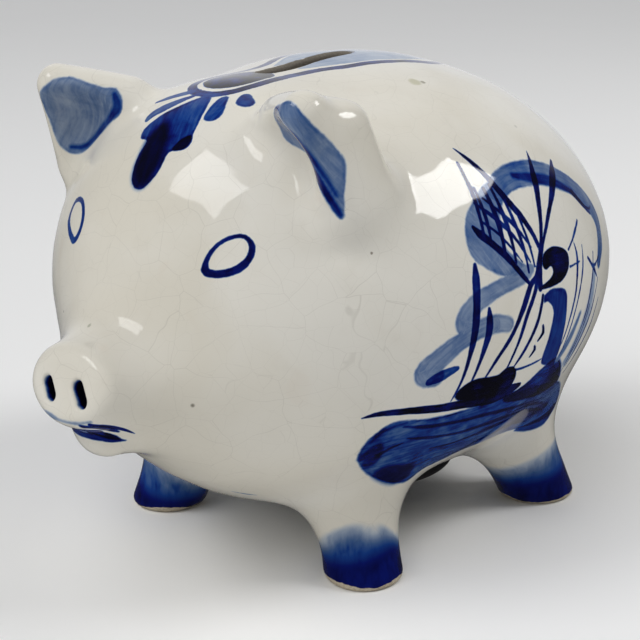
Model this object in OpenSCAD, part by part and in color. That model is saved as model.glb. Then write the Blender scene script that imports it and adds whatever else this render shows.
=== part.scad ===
// Hand-painted earthenware pig money bank.
// The pig stands on z = 0 and looks along -Y; its left side is +X.
// Snout, jaw, ears, legs and tail are clay pieces luted onto a hollow body,
// and a rubber stopper closes the hole in the belly. Lengths are in millimetres.

/* [Body] */
// Length of the egg-shaped body from chest to rump
body_len = 145; // [120:1:180]
// Greatest width of the body
body_w = 123; // [100:1:150]
// Greatest height of the body
body_h = 102; // [85:1:125]
// Clearance between the belly and the table
belly_gap = 11; // [9:0.5:20]
// Thickness of the clay wall
wall = 4.5; // [3.5:0.5:7]
// Where along its length the body is fullest, as a fraction from the chest
girth_at = 0.51; // [0.4:0.01:0.6]

/* [Coin slot] */
// Length of the coin slot
slot_len = 29; // [26:0.5:36]
// Width of the coin slot
slot_w = 3.8; // [3:0.1:5]
// Distance of the slot's middle behind the chest
slot_back = 59; // [50:1:72]

/* [Snout] */
// How far the middle of the snout's disc stands in front of the chest
snout_out = 15; // [10:0.5:25]
// Height of the disc's middle above the table
snout_z = 53.5; // [45:0.5:60]
// Width of the disc
snout_w = 24; // [18:0.5:30]
// Height of the disc
snout_h = 16; // [12:0.5:22]
// Upward tilt of the snout
snout_tilt = 16; // [0:1:25]
// Depth of the nostrils
nostril_depth = 5; // [2:0.5:8]

/* [Ears] */
// Thickness of an ear at its tip
ear_t = 7; // [5:0.5:9]
// Depth of the hollow in the ear's front
ear_cup = 3.5; // [1:0.5:5]

/* [Legs] */
// Radius of a foot where it stands
foot_r = 9.4; // [7:0.1:12]
// Distance of a front foot from the middle plane
front_foot_x = 33.5; // [28:0.5:40]
// Distance of the front feet behind the chest
front_foot_back = 41; // [36:1:50]
// Distance of a rear foot from the middle plane
rear_foot_x = 37.5; // [30:0.5:44]
// Distance of the rear feet behind the chest
rear_foot_back = 109; // [98:1:116]

/* [Stopper] */
// Radius of the hole in the belly
bore_r = 17.5; // [15:0.5:19]
// Distance of the hole's axis behind the chest
bore_back = 81; // [74:1:86]
// Radius of the stopper's flange
flange_r = 23.5; // [21:0.5:26]
// Thickness of the flange at its edge
flange_t = 6.4; // [4:0.2:7]
// Length of the plug above the flange
plug_len = 13; // [10:0.5:18]

/* [Tail] */
// Radius of the tail's curl
curl_r = 6.5; // [5:0.5:8]
// Thickness of the tail at its root
tail_t = 6; // [4:0.5:7]
// How far the tail stands behind the rump
tail_out = 4; // [3:0.5:6]

/* [Quality] */
// Facets around the body
around = 48; // [32:4:64]
// Rings along the body
along = 31; // [21:2:45]

/* [Hidden] */

glaze = "#e4e2da";
cobalt = "#3d5fa6";
rubber = "#161616";
round_fn = 96;
hull_fn = 26;

// Bluntness of the body's two ends: 2 is a plain ellipse, more is fuller.
chest_power = 2.2;
rump_power = 2;

// Along Y the object runs from the snout's lower lip to the back of the tail.
snout_edge = 3;
lip_out = snout_out + (snout_h / 2 - snout_edge) * sin(snout_tilt)
          + snout_edge * (1 - cos(snout_tilt));
chest_y = (lip_out - body_len - tail_out) / 2;
girth_y = chest_y + girth_at * body_len;
rump_y = chest_y + body_len;
body_z = belly_gap + body_h / 2;

// The stopper's seat is a shallow countersink around the hole.
bore_y = chest_y + bore_back;
seat_in_z = belly_gap + 2.6;
seat_out_z = belly_gap + 4.2;
seat_r = flange_r + 0.5;
seat_gap = 0.25;
plug_r = bore_r - 0.05;

// The snout runs back from its disc to its root inside the body.
snout_back = 34;
snout_disc = [0, chest_y - snout_out, snout_z];
snout_fwd = [0, -cos(snout_tilt), sin(snout_tilt)];
snout_up = [0, sin(snout_tilt), cos(snout_tilt)];

// The jaw runs back from its lip under the snout.
jaw_lip = [0, chest_y - 6, 40];
jaw_root = [0, chest_y + 17, 45.5];
jaw_lip_r = 4.5;
jaw_root_r = 9.5;
jaw_stretch = 1.5;

// Corners of the left ear: tip, inner root and outer root.
ear_tip = [37.5, chest_y + 17, 108.5];
ear_in = [23, chest_y + 26.5, 104.5];
ear_out = [41, chest_y + 26, 88.5];
ear_mid = (ear_tip + ear_in + ear_out) / 3;
ear_front = unit(cross(ear_in - ear_tip, ear_out - ear_tip));
ear_cup_r = 17;

// The legs' axes end inside the body at these points of the left side.
leg_top_z = 37.5;
front_top = [22, chest_y + 48, leg_top_z];
rear_top = [30, chest_y + 91, leg_top_z];
ankle_h = 9;

function unit(v) = v / norm(v);

// Height of a superellipse of unit half axes at distance t from its middle.
function blunt(t, power) = pow(max(0, 1 - pow(t, power)), 1 / power);

// One ring of the body, pulled in from the outer surface by inset.
function body_ring(phi, inset) =
    let (c = cos(phi),
         half = (c > 0 ? girth_y - chest_y : rump_y - girth_y) - inset,
         k = blunt(abs(c), c > 0 ? chest_power : rump_power))
    [for (j = [0:around - 1])
        let (a = 360 * j / around)
        [(body_w / 2 - inset) * k * cos(a), girth_y - half * c,
         body_z + (body_h / 2 - inset) * k * sin(a)]];

// Flat ring of n points on an ellipse with half axes u and v.
function ellipse_ring(c, u, v, n) =
    [for (j = [0:n - 1]) c + u * cos(360 * j / n) + v * sin(360 * j / n)];

// Distance of the rump's surface along Y at a point of its rear view.
function rump_surface(x, z) =
    girth_y + (rump_y - girth_y)
    * blunt(norm([2 * x / body_w, 2 * (z - body_z) / body_h]), rump_power);

// Closed skin through rings of equal length. Two poles replace the flat caps.
module skin(rings, poles = []) {
    n = len(rings[0]);
    m = len(rings);
    sides = [for (i = [0:m - 2], j = [0:n - 1])
        let (a = i * n + j, b = i * n + (j + 1) % n)
        each [[a, b + n, a + n], [a, b, b + n]]];
    first = len(poles) > 0
        ? [for (j = [0:n - 1]) [m * n, (j + 1) % n, j]]
        : [[for (j = [0:n - 1]) j]];
    last = len(poles) > 0
        ? [for (j = [0:n - 1]) [m * n + 1, (m - 1) * n + j, (m - 1) * n + (j + 1) % n]]
        : [[for (j = [n - 1:-1:0]) (m - 1) * n + j]];
    polyhedron([each [for (r = rings) each r], each poles], [each sides, each first, each last]);
}

// The body as a solid egg, pulled in by inset.
module egg(inset = 0) {
    step = 180 / (along + 1);
    skin([for (i = [1:along]) body_ring(i * step, inset)],
         [[0, chest_y + inset, body_z], [0, rump_y - inset, body_z]]);
}

// Hollow body with the coin slot in its back and the stopper's hole in its belly.
module body_shell() {
    color(glaze) difference() {
        egg();
        egg(wall);
        translate([0, chest_y + slot_back, body_z]) {
            translate([-slot_w / 2, (slot_w - slot_len) / 2, 0])
                cube([slot_w, slot_len - slot_w, body_h]);
            for (s = [-1, 1])
                translate([0, s * (slot_len - slot_w) / 2, 0])
                    cylinder(r = slot_w / 2, h = body_h, $fn = round_fn);
        }
        translate([0, bore_y, 0]) {
            cylinder(r = bore_r, h = body_z, $fn = round_fn);
            rotate_extrude($fn = round_fn)
                polygon([[0, 0], [seat_r, 0], [seat_r, seat_out_z], [bore_r, seat_in_z],
                         [0, seat_in_z]]);
        }
    }
}

// Section of the snout at distance s behind its disc: round edge, taper, flared root.
function snout_ring(s) =
    let (u = s / snout_back,
         grow = 1 + 0.45 * u + 0.45 * pow(u, 3),
         d = s < snout_edge ? snout_edge - sqrt(pow(snout_edge, 2) - pow(snout_edge - s, 2)) : 0)
    ellipse_ring(snout_disc - s * snout_fwd, [snout_w / 2 * grow - d, 0, 0],
                 (snout_h / 2 * grow - d) * snout_up, 40);

module snout_solid() {
    edge_steps = [for (a = [0:15:75]) snout_edge * (1 - cos(a))];
    taper_steps = [for (i = [0:12]) snout_edge + (snout_back - snout_edge) * i / 12];
    skin([for (s = [each edge_steps, each taper_steps]) snout_ring(s)]);
}

// Tapered muzzle with a flat, round-edged disc and two slanted nostrils.
module snout() {
    nostril_r = 1.4;
    nostril_x = 3.4;
    nostril_lean = 18;
    color(glaze) difference() {
        snout_solid();
        egg();
        for (s = [-1, 1])
            translate([s * nostril_x, 0, 0] + snout_disc)
                rotate([90 - snout_tilt, 0, 0])
                    rotate([0, 0, nostril_lean])
                        for (d = [-0.7, 0.7])
                            translate([0, d, -nostril_depth])
                                cylinder(r = nostril_r, h = 2 * nostril_depth, $fn = 32);
    }
}

// Section of the jaw: a tapered tube with a ball-shaped lip.
function jaw_ring(s) =
    let (axis = jaw_root - jaw_lip,
         ball = s < 0,
         r = ball ? jaw_lip_r * cos(90 * s) : jaw_lip_r + (jaw_root_r - jaw_lip_r) * s,
         c = jaw_lip + (ball ? jaw_lip_r * sin(90 * s) * unit(axis) : s * axis))
    ellipse_ring(c, [jaw_stretch * r, 0, 0], r * unit(cross(unit(axis), [-1, 0, 0])), 32);

// Lower jaw, tucked under the snout.
module lower_jaw() {
    color(glaze) difference() {
        skin([for (s = [-0.94, -0.8, -0.6, -0.4, -0.2, 0, 0.25, 0.5, 0.75, 1]) jaw_ring(s)]);
        snout_solid();
        egg();
    }
}

// Leaf-shaped ear, hollowed in front and rounded behind.
module ear() {
    root_r = ear_t / 2 + 1;
    bulge_r = 8;
    difference() {
        hull() {
            translate(ear_tip) sphere(r = ear_t / 2, $fn = hull_fn);
            for (p = [ear_in, ear_out])
                translate(p) sphere(r = root_r, $fn = hull_fn);
            translate((ear_in + ear_out) / 2 - 4 * ear_front) sphere(r = bulge_r, $fn = hull_fn);
        }
        translate(ear_mid + (root_r - ear_cup + ear_cup_r) * ear_front)
            sphere(r = ear_cup_r, $fn = 64);
        egg();
    }
}

module left_ear() {
    color(glaze) ear();
}

module right_ear() {
    color(glaze) mirror([1, 0, 0]) ear();
}

// Short leg on a slanted axis from its foot to its top, flared where it meets the belly.
module leg(foot, top) {
    axis = top - foot;
    lean = acos(unit(axis).z);
    h = norm(axis);
    ankle_r = 0.93 * foot_r;
    root_r = foot_r + 9;
    flare = [for (i = [0:8])
        let (u = i / 8)
        [ankle_r + (root_r - ankle_r) * pow(u, 2.4), ankle_h + (h - ankle_h) * u]];
    difference() {
        translate(foot) rotate([0, lean, atan2(axis.y, axis.x)])
            rotate_extrude($fn = round_fn)
                polygon([[0, -foot_r], [foot_r, -foot_r], [foot_r, ankle_h / 3], each flare, [0, h]]);
        translate([foot.x - 2 * foot_r, foot.y - 2 * foot_r, -2 * foot_r])
            cube([4 * foot_r, 4 * foot_r, 2 * foot_r]);
        egg();
    }
}

module front_leg() {
    leg([front_foot_x, chest_y + front_foot_back, 0], front_top);
}

module rear_leg() {
    leg([rear_foot_x, chest_y + rear_foot_back, 0], rear_top);
}

module front_left_leg() {
    color(cobalt) front_leg();
}

module front_right_leg() {
    color(cobalt) mirror([1, 0, 0]) front_leg();
}

module rear_left_leg() {
    color(cobalt) rear_leg();
}

module rear_right_leg() {
    color(cobalt) mirror([1, 0, 0]) rear_leg();
}

// Middle line of the tail: it starts on the rump and curls over it.
function tail_line(t) =
    let (a = -90 + 300 * t,
         r = curl_r * (1 - 0.4 * t),
         x = r * cos(a),
         z = body_z + curl_r + r * sin(a))
    [x, rump_surface(x, z) + tail_out - tail_t / 2, z];

// Small curled tail laid on the rump.
module tail() {
    steps = 24;
    rings = [for (i = [0:steps])
        let (t = i / steps,
             along_t = unit(tail_line(t + 0.01) - tail_line(t - 0.01)),
             side = unit(cross(along_t, [0, 1, 0])),
             out = cross(side, along_t),
             r = tail_t / 2 * (1 - 0.6 * t))
        ellipse_ring(tail_line(t), r * side, r * out, 12)];
    color(glaze) difference() {
        union() {
            skin(rings);
            translate(tail_line(0)) sphere(r = tail_t / 2, $fn = 32);
        }
        egg();
    }
}

// Rubber stopper: a flange under the belly and a hollow plug that fills the hole.
module stopper() {
    top_in = seat_in_z - seat_gap;
    top_out = seat_out_z - seat_gap;
    low = top_out - flange_t;
    edge = 2.6;
    lip = 1.6;
    plug_top = top_in + plug_len;
    hollow_r = plug_r - 3.4;
    grip_r = 13;
    grip_depth = 1.4;
    bottom_edge = [for (a = [0:15:90])
        [flange_r - edge + edge * cos(a), low + edge - edge * sin(a)]];
    color(rubber) translate([0, bore_y, 0])
        rotate_extrude($fn = round_fn)
            polygon([[0, low + grip_depth], [grip_r - grip_depth, low + grip_depth], [grip_r, low],
                     each [for (i = [len(bottom_edge) - 1:-1:0]) bottom_edge[i]],
                     [flange_r, top_out - 0.8], [flange_r - 0.8, top_out - 0.25],
                     [plug_r, top_in], [plug_r, plug_top - lip], [plug_r - lip, plug_top],
                     [hollow_r, plug_top], [hollow_r, top_in + 1], [0, top_in + 1]]);
}

body_shell();
snout();
lower_jaw();
left_ear();
right_ear();
front_left_leg();
front_right_leg();
rear_left_leg();
rear_right_leg();
tail();
stopper();
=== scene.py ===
"""Looks of the hand-painted earthenware pig money bank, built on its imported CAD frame."""
import math

import bmesh
import bpy
import numpy as np
import openvdb
from mathutils import Matrix, Vector


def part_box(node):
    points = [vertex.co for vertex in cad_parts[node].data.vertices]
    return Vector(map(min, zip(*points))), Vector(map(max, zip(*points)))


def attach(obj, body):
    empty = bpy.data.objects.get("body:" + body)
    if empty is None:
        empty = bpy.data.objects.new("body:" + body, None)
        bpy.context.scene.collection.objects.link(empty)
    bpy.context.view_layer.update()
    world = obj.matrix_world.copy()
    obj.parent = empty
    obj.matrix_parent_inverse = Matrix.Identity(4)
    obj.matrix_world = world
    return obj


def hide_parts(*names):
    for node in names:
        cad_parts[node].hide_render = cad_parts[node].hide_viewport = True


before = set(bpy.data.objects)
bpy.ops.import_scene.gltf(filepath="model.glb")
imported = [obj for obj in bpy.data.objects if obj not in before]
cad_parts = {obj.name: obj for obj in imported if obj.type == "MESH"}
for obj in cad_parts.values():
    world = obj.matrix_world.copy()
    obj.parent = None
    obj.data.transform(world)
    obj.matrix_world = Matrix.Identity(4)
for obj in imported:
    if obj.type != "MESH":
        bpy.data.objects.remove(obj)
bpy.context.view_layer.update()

MM = 0.001


def box_mm(node):
    low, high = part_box(node)
    return np.array(low) / MM, np.array(high) / MM


# ---------------------------------------------------------------- anchors, in mm
shell_low, shell_high = box_mm("body_shell")
stop_low, stop_high = box_mm("stopper")
tail_low, tail_high = box_mm("tail")
CHEST = shell_low[1]
TOP = shell_high[2]
HALF_W = shell_high[0]
MID_Z = TOP - 51.0
BORE_Y = (stop_low[1] + stop_high[1]) / 2
FLANGE_R = (stop_high[0] - stop_low[0]) / 2
BORE_R = FLANGE_R - 6.0
WALL = 4.5
SLOT_Y = CHEST + 59.0
SLOT_HALF_LEN = 14.5
SLOT_HALF_W = 1.9

# ---------------------------------------------------------------- clay form


def smin(a, b, k):
    h = np.clip(0.5 + 0.5 * (b - a) / k, 0, 1)
    return b * (1 - h) + a * h - k * h * (1 - h)


def smax(a, b, k):
    return -smin(-a, -b, k)


def length(v):
    return np.sqrt((v * v).sum(-1))


def ellipsoid(p, centre, radii):
    r = np.array(radii, p.dtype)
    q = (p - np.array(centre, p.dtype)) / r
    k0 = length(q) + 1e-6
    return k0 * (k0 - 1) / (length(q / r) + 1e-6)


def cone(p, a, b, ra, rb):
    a, b = np.array(a, p.dtype), np.array(b, p.dtype)
    d = b - a
    t = np.clip(((p - a) @ d) / (d @ d), 0, 1)
    return length(p - a - t[..., None] * d) - (ra + (rb - ra) * t)


def triangle(p, a, b, c):
    """Distance to a triangle in space."""
    a, b, c = [np.array(v, p.dtype) for v in (a, b, c)]
    ba, cb, ac = b - a, c - b, a - c
    pa, pb, pc = p - a, p - b, p - c
    n = np.cross(ba, ac)
    inside = (np.sign(pa @ np.cross(ba, n)) + np.sign(pb @ np.cross(cb, n))
              + np.sign(pc @ np.cross(ac, n))) < 2

    def edge(e, q):
        v = e * np.clip((q @ e) / (e @ e), 0, 1)[..., None] - q
        return (v * v).sum(-1)
    near = np.minimum(np.minimum(edge(ba, pa), edge(cb, pb)), edge(ac, pc))
    return np.sqrt(np.where(inside, near, (pa @ n) ** 2 / (n @ n)))


SNOUT_ROOT = np.array([0, CHEST + 18.5, 43.5])
SNOUT_TIP = np.array([0, CHEST - 15.2, 53.4])
SNOUT_FWD = (SNOUT_TIP - SNOUT_ROOT) / np.linalg.norm(SNOUT_TIP - SNOUT_ROOT)
SNOUT_UP = np.array([0, SNOUT_FWD[2], -SNOUT_FWD[1]])
SNOUT_STRETCH = np.array([1 / 1.5, 1, 1])
JAW_ROOT = (0, CHEST + 17.2, 45.3)
JAW_TIP = (0, CHEST - 5.8, 40.1)
EAR_TIP = np.array([36.7, CHEST + 16.9, 108.1])
EAR_IN = np.array([23.4, CHEST + 25.9, 105.4])
EAR_OUT = np.array([40.8, CHEST + 24.8, 89.6])
EAR_MID = (EAR_TIP + EAR_IN + EAR_OUT) / 3
EAR_N = np.cross(EAR_IN - EAR_TIP, EAR_OUT - EAR_TIP)
EAR_N = EAR_N / np.linalg.norm(EAR_N) * (-1 if np.cross(EAR_IN - EAR_TIP, EAR_OUT - EAR_TIP)[1] > 0 else 1)
EAR_R = 4.8
EAR_BACK = CHEST + 25.0
FRONT_EDGE = -1.8
LOBE_TOP = (38.2, CHEST + 26.6, 104.6)
LOBE_ROOT = (39.4, CHEST + 31.5, 91.0)
CUP_R = 15.0
CUP_DEPTH = 3.6
LEG_TOP_Z = 37.6
# name: (side, foot x, foot y, foot radius, top x, top y, top radius, blend)
LEGS = {
    "front_left_leg": (1, 33.4, CHEST + 41.0, 9.2, 21.8, CHEST + 47.8, 7.2, 16.0),
    "front_right_leg": (-1, 33.4, CHEST + 41.0, 9.2, 21.8, CHEST + 47.8, 7.2, 16.0),
    "rear_left_leg": (1, 37.5, CHEST + 109.4, 8.9, 30.2, CHEST + 91.0, 9.6, 17.2),
    "rear_right_leg": (-1, 37.5, CHEST + 109.4, 8.9, 30.2, CHEST + 91.0, 9.6, 17.2),
}
# nostrils: the two ends of each oval, x then height on the disc, and its radius
NOSTRILS = (((3.9, 0.6), (5.7, -2.0), 1.5), ((-5.3, -0.2), (-3.7, -2.6), 1.35))
TAIL_CURL = 6.5
TAIL_Z = (tail_low[2] + tail_high[2]) / 2


def mirrored(p):
    return np.stack([np.abs(p[..., 0]), p[..., 1], p[..., 2]], -1)


def lumps(p):
    """Slight unevenness of a hand-finished cast, in mm."""
    x, y, z = p[..., 0], p[..., 1], p[..., 2]
    return (0.16 * np.sin(0.115 * x + 0.07 * y + 0.6) * np.sin(0.09 * y - 0.05 * z + 1.9)
            + 0.10 * np.sin(0.17 * z + 0.08 * x + 2.2) * np.sin(0.13 * x - 0.1 * y + 0.4)
            + 0.035 * np.sin(0.42 * y + 0.2 * z) * np.sin(0.37 * z - 0.3 * x + 1.1))


def core(p):
    body = ellipsoid(p, (0, CHEST + 72.4, MID_Z + 0.1), (HALF_W - 0.05, 72.4, 51.1))
    head = ellipsoid(p, (0, CHEST + 31.55, MID_Z + 0.4), (41.2, 17.1, 43.2))
    return smin(body, head, 18.8)


def snout(p):
    q = p * SNOUT_STRETCH.astype(p.dtype)
    s = cone(q, SNOUT_ROOT, SNOUT_TIP, 11.7, 7.9)
    return smax(s, (p - SNOUT_TIP.astype(p.dtype)) @ SNOUT_FWD.astype(p.dtype), 3.2)


def jaw(p):
    return cone(p * SNOUT_STRETCH.astype(p.dtype), JAW_ROOT, JAW_TIP, 9.7, 4.5)


def ear(q):
    e = triangle(q, EAR_TIP, EAR_IN, EAR_OUT) - EAR_R
    e = smin(e, cone(q, LOBE_TOP, LOBE_ROOT, 5.6, 6.5), 6.5)
    cup = length(q - (EAR_MID + EAR_N * (EAR_R + CUP_R - CUP_DEPTH)).astype(q.dtype)) - CUP_R
    return smax(e, -cup, 2.4)


def leg(p, spec):
    side, fx, fy, fr, tx, ty, tr, _ = spec
    d = cone(p, (side * tx, ty, LEG_TOP_Z), (side * fx, fy, -4.0), tr, fr)
    return smax(d, -p[..., 2], 2.2)


def tail_curve(t):
    """Middle line of the tail, which curls over the rump."""
    turn = math.radians(-90 + 300 * t)
    r = TAIL_CURL * (1 - 0.4 * t)
    x, z = r * math.cos(turn), TAIL_CURL + r * math.sin(turn)
    bulge = 72.4 * math.sqrt(1 - (x / HALF_W) ** 2 - (z / 51.1) ** 2)
    return np.array([x, CHEST + 72.4 + bulge + 1.0, MID_Z + z])


TAIL_POINTS = [tail_curve(i / 22) for i in range(23)]
CURL_MIDDLE = sum(TAIL_POINTS[6:]) / len(TAIL_POINTS[6:])


def tail(p):
    out = np.full(p.shape[:-1], 50.0, p.dtype)
    near = (np.abs(p[..., 0]) < 14) & (p[..., 1] > CHEST + 130) & (np.abs(p[..., 2] - TAIL_Z) < 18)
    q = p[near]
    if len(q):
        best = np.full(len(q), 50.0, p.dtype)
        for i in range(22):
            ra, rb = 3.0 - 1.8 * i / 22, 3.0 - 1.8 * (i + 1) / 22
            best = np.minimum(best, cone(q, TAIL_POINTS[i], TAIL_POINTS[i + 1], ra, rb))
        out[near] = best
    return out


def stadium(p):
    y = np.maximum(np.abs(p[..., 1] - SLOT_Y) - (SLOT_HALF_LEN - SLOT_HALF_W), 0)
    return np.sqrt(y * y + p[..., 0] ** 2) - SLOT_HALF_W


def nostril_field(p):
    """Flat distance to the nearer nostril's edge, and the depth behind the snout's disc."""
    rel = p - SNOUT_TIP.astype(p.dtype)
    depth = -(rel @ SNOUT_FWD.astype(p.dtype))
    up = rel @ SNOUT_UP.astype(p.dtype)
    flat = np.full(p.shape[:-1], 9.0, p.dtype)
    for (xa, ua), (xb, ub), rad in NOSTRILS:
        ax, au = xb - xa, ub - ua
        t = np.clip(((p[..., 0] - xa) * ax + (up - ua) * au) / (ax * ax + au * au), 0, 1)
        gap = np.sqrt((p[..., 0] - xa - t * ax) ** 2 + (up - ua - t * au) ** 2)
        flat = np.minimum(flat, gap - rad)
    return flat, depth


def openings(p, base, inner):
    """Cuts the hollow, the coin slot, the stopper's hole and seat, and the nostrils."""
    z = p[..., 2]
    d = smax(base, -(inner + WALL), 0.8)
    slot = np.maximum(stadium(p), TOP - 25 - z)
    d = smax(d, -slot, 1.3)
    r = np.sqrt(p[..., 0] ** 2 + (p[..., 1] - BORE_Y) ** 2)
    d = smax(d, -np.maximum(r - BORE_R - 0.02, z - 40), 0.5)
    seat = 13.55 + 1.6 * np.clip((r - BORE_R) / (FLANGE_R + 0.5 - BORE_R), 0, 1)
    d = smax(d, -np.maximum(r - FLANGE_R - 0.5, z - seat), 0.35)
    flat, depth = nostril_field(p)
    d = smax(d, -smax(flat + 0.18 * depth, depth - 3.2, 1.0), 0.9)
    return d


def clay(p, ears=True, cut=True):
    q = mirrored(p)
    inner = core(p)
    d = smin(inner, snout(p), 17.2)
    d = smin(d, jaw(p), 4.2)
    for spec in LEGS.values():
        d = smin(d, leg(p, spec), spec[-1])
    if ears:
        d = smin(d, ear(q), 6.0)
        d = smin(d, tail(p), 2.2)
    d = d + lumps(p)
    return openings(p, d, inner) if cut else d


def gradient(p, field, eps=0.06):
    g = np.empty_like(p)
    for i in range(3):
        step = np.zeros(3)
        step[i] = eps
        g[:, i] = (field(p + step) - field(p - step)) / (2 * eps)
    return g


def settle(p, rounds=4):
    """Moves points onto the clay's surface."""
    for _ in range(rounds):
        g = gradient(p, clay)
        d = clay(p)
        step = (d / np.maximum((g * g).sum(1), 0.25))[:, None] * g
        size = length(step)[:, None]
        p = p - step * np.minimum(1, 0.7 / np.maximum(size, 1e-9))
    return p


# ---------------------------------------------------------------- brush painting
# Control points are in mm on three charts of the pig: "flank" is (y, z) seen from
# its left side, "face" is (x, z) seen from in front and "crown" is (x, y) from above.
CHARTS = {
    "flank": ((1, 2), np.array([1.0, 0, 0]), 80.0),
    "face": ((0, 2), np.array([0, -1.0, 0]), 100.0),
    "ear": ((0, 2), np.array([0, -1.0, 0]), 100.0),
    "crown": ((0, 1), np.array([0, 0, 1.0]), 130.0),
}


def lift(chart, ab):
    """Points of a chart laid onto the uncut clay."""
    (i, j), out, start = CHARTS[chart]
    p = np.zeros((len(ab), 3))
    p[:, i], p[:, j] = ab[:, 0], ab[:, 1]
    p += out * start
    for _ in range(90):
        p -= out * (clay(p, ears=chart == "ear", cut=False) * 0.8)[:, None]
    if chart == "ear":
        p[:, 1] = np.minimum(p[:, 1], EAR_BACK)
    return p


def spline(points, closed, step=0.8):
    pts = np.array(points, float)
    n = len(pts)
    out = []
    spans = n if closed else n - 1
    for i in range(spans):
        if closed:
            a, b, c, d = [pts[(i + k) % n] for k in (-1, 0, 1, 2)]
        else:
            a, b, c, d = [pts[min(max(i + k, 0), n - 1)] for k in (-1, 0, 1, 2)]
        cuts = max(2, int(np.linalg.norm((c - b)[:2]) / step))
        for s in range(cuts):
            t = s / cuts
            out.append(0.5 * (2 * b + (c - a) * t + (2 * a - 5 * b + 4 * c - d) * t * t
                              + (3 * b - a - 3 * c + d) * t ** 3))
    if not closed:
        out.append(pts[-1])
    return np.array(out)


class Layer:
    """Cobalt of one darkness: distance to its edge, tone, softness and brush direction."""

    def __init__(self, name):
        self.name = name
        self.marks = []

    def stroke(self, chart, tone, *points, soft=0.22, sides=(1,)):
        line = spline(points, False)
        path = lift(chart, line[:, :2])
        for side in sides:
            turned = path * np.array([side, 1, 1])
            self.marks.append(("line", chart, tone, soft, turned, np.maximum(line[:, 2], 0.12), side, None))
        return self

    def patch(self, chart, tone, *points, soft=0.3, flow=(1.0, 0.0), sides=(1,)):
        line = spline(points, True)
        path = lift(chart, line)
        for side in sides:
            turned = path * np.array([side, 1, 1])
            self.marks.append(("fill", chart, tone, soft, turned, line, side, flow))
        return self


def from_path(p, path, radii):
    """Distance to a brush line of varying width, and the place along and across it."""
    a, b = path[:-1], path[1:]
    d = b - a
    seg = length(d)
    run = np.concatenate([[0], np.cumsum(seg)])[:-1]
    best = np.full(len(p), 99.0)
    along = np.zeros(len(p))
    off = np.zeros(len(p))
    for k in range(len(a)):
        t = np.clip(((p - a[k]) @ d[k]) / max(seg[k] ** 2, 1e-9), 0, 1)
        v = p - a[k] - t[:, None] * d[k]
        gap = length(v)
        e = gap - (radii[k] + (radii[k + 1] - radii[k]) * t)
        take = e < best
        best = np.where(take, e, best)
        along = np.where(take, run[k] + t * seg[k], along)
        off = np.where(take, gap * np.where(v[:, 2] + 0.3 * v[:, 1] > 0, 1, -1), off)
    return best, along, off


def inside(ab, line):
    odd = np.zeros(len(ab), bool)
    x, y = ab[:, 0], ab[:, 1]
    for k in range(len(line)):
        x0, y0 = line[k]
        x1, y1 = line[(k + 1) % len(line)]
        hit = (y0 > y) != (y1 > y)
        odd ^= hit & (x < (x1 - x0) * (y - y0) / (y1 - y0 + 1e-12) + x0)
    return odd


FAR = 3.0


def paint(layer, p, normal):
    dist = np.full(len(p), FAR)
    tone = np.full(len(p), 0.5)
    soft = np.full(len(p), 0.3)
    flow = np.zeros((len(p), 3))
    for index, (kind, chart, value, edge, path, extra, side, way) in enumerate(layer.marks):
        (i, j), out, _ = CHARTS[chart]
        reach = 2.5 + (extra.max() if kind == "line" else 0)
        low, high = path.min(0) - reach, path.max(0) + reach
        if kind == "fill":
            k = 3 - i - j
            low[k], high[k] = low[k] - (9 if chart == "flank" else 3), high[k] + (2 if chart == "ear" else 6)
        near = np.nonzero(((p > low) & (p < high)).all(1))[0]
        turn = out * np.array([side, 1, 1])
        facing = normal[near] @ turn > (-0.35 if chart == "ear" else -0.1)
        near = near[facing]
        if not len(near):
            continue
        q = p[near]
        if kind == "line":
            d, along, off = from_path(q, path, extra)
        else:
            loop = np.vstack([path, path[:1]])
            d, _, _ = from_path(q, loop, np.zeros(len(loop)))
            ab = q[:, [i, j]] * np.array([side if i == 0 else 1, 1])
            d = np.where(inside(ab, extra), -d, d)
            if chart == "ear":
                rim = FRONT_EDGE - 1.6 * np.exp(-((q[:, 2] - 99) / 6) ** 2) - (mirrored(q) - EAR_MID) @ EAR_N
                d = np.where(np.abs(q[:, 0]) > EAR_MID[0] - 2, -smin(-d, -rim, 6.0), d)
            along = ab @ np.array(way)
            off = ab @ np.array([-way[1], way[0]])
        over = d < np.minimum(dist[near], FAR)
        own = over | (d < 0)
        spot = near[own]
        tone[spot], soft[spot] = value, edge
        flow[spot] = np.stack([along[own], off[own], np.full(own.sum(), 1.7 * index)], 1)
        dist[near] = np.minimum(dist[near], d)
    if layer.name == "dark":
        # the walls and floor of the nostril holes get the darkest ink, near black: painted shade inside the holes
        flat, depth = nostril_field(p)
        nostril_shade = np.where((depth < 5) & (depth > -1.5), flat, FAR)
        tone[nostril_shade < dist] = 0.99
        dist = np.minimum(dist, nostril_shade)
    return dist, tone, soft, flow


BOTH = (1, -1)
wash, brushed, dark = Layer("wash"), Layer("brush"), Layer("dark")


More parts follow.
